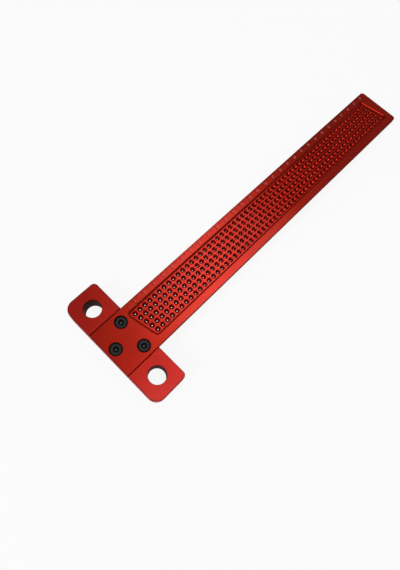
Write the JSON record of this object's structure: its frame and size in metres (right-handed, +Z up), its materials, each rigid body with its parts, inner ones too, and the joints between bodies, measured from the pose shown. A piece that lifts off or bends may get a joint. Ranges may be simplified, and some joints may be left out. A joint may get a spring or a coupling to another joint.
{
  "type": "marking t-square",
  "caption": "Marking t-square: flat blade with an edge scale and slanted rows of pencil holes in a pocket, let into the top of a thick fence and held by countersunk screws.",
  "frame": {"origin": "zero of the scale: where the fence's inner face meets the blade's underside, on the blade's centre line", "axes": "+X along the blade away from the fence, +Y across the blade towards the edge with the scale, +Z up out of the blade's top"},
  "size_m": [0.34, 0.097, 0.015],
  "materials": {
    "red_aluminium": "fine satin, red anodised",
    "fence_aluminium": "fine satin, red anodised",
    "black_steel": "black oxide, satin"
  },
  "bodies": {
    "root": {"blade": "red_aluminium", "fence": "fence_aluminium", "screw_front_left": "black_steel", "screw_front_right": "black_steel", "screw_rear": "black_steel"}
  },
  "joints": []
}
